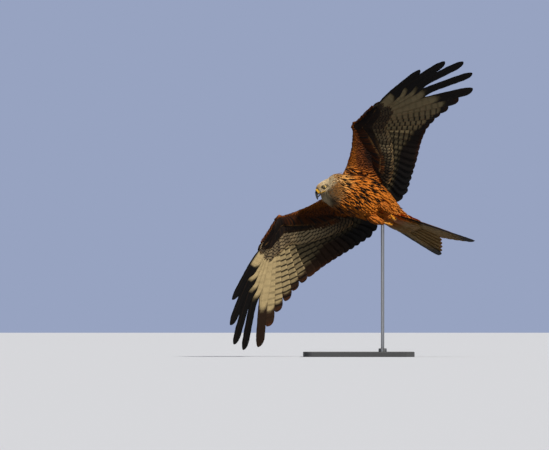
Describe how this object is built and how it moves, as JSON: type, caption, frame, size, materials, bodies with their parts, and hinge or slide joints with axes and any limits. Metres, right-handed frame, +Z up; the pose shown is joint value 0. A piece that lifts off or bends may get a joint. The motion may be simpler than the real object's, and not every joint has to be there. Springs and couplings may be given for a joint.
{
  "type": "mounted red kite",
  "caption": "Life-size bird of prey in banked gliding flight, wings spread and forked tail fanned, on a rod rising from a flat base.",
  "frame": {"origin": "middle of the base's underside", "axes": "+Z up; +X to the right as the belly is seen, so the bird flies towards -X; +Y away from the side that shows the belly"},
  "size_m": [0.8867, 0.5721, 1.0576],
  "materials": {
    "rufous_plumage": "rufous body feathers with dark shaft streaks",
    "pale_plumage": "pale grey head feathers with fine dark streaks",
    "wing_plumage": "dark flight feathers, rufous coverts and a pale barred window",
    "tail_plumage": "pale rufous tail feathers with faint bars and dark corners",
    "eye": "wet pale yellow iris with a black pupil",
    "yellow_skin": "waxy yellow bare skin",
    "bill_horn": "polished black horn",
    "claw_horn": "polished black horn",
    "stand_paint": "satin grey paint",
    "stand_steel": "brushed"
  },
  "bodies": {
    "root": {"torso": "rufous_plumage", "neck": "rufous_plumage", "head": "pale_plumage", "eye_left": "eye", "eye_right": "eye", "cere": "yellow_skin", "bill_upper": "bill_horn", "bill_lower": "bill_horn", "tail": "tail_plumage", "wing_left_arm": "wing_plumage", "wing_left_hand": "wing_plumage", "wing_right_arm": "wing_plumage", "wing_right_hand": "wing_plumage", "thigh_left": "rufous_plumage", "thigh_right": "rufous_plumage", "shank_left": "yellow_skin", "shank_right": "yellow_skin", "foot_left": "yellow_skin", "foot_right": "yellow_skin", "claw_left_inner": "claw_horn", "claw_left_middle": "claw_horn", "claw_left_outer": "claw_horn", "claw_left_hind": "claw_horn", "claw_right_inner": "claw_horn", "claw_right_middle": "claw_horn", "claw_right_outer": "claw_horn", "claw_right_hind": "claw_horn", "stand_base": "stand_paint", "stand_collar": "stand_steel", "stand_rod": "stand_steel"}
  },
  "joints": []
}
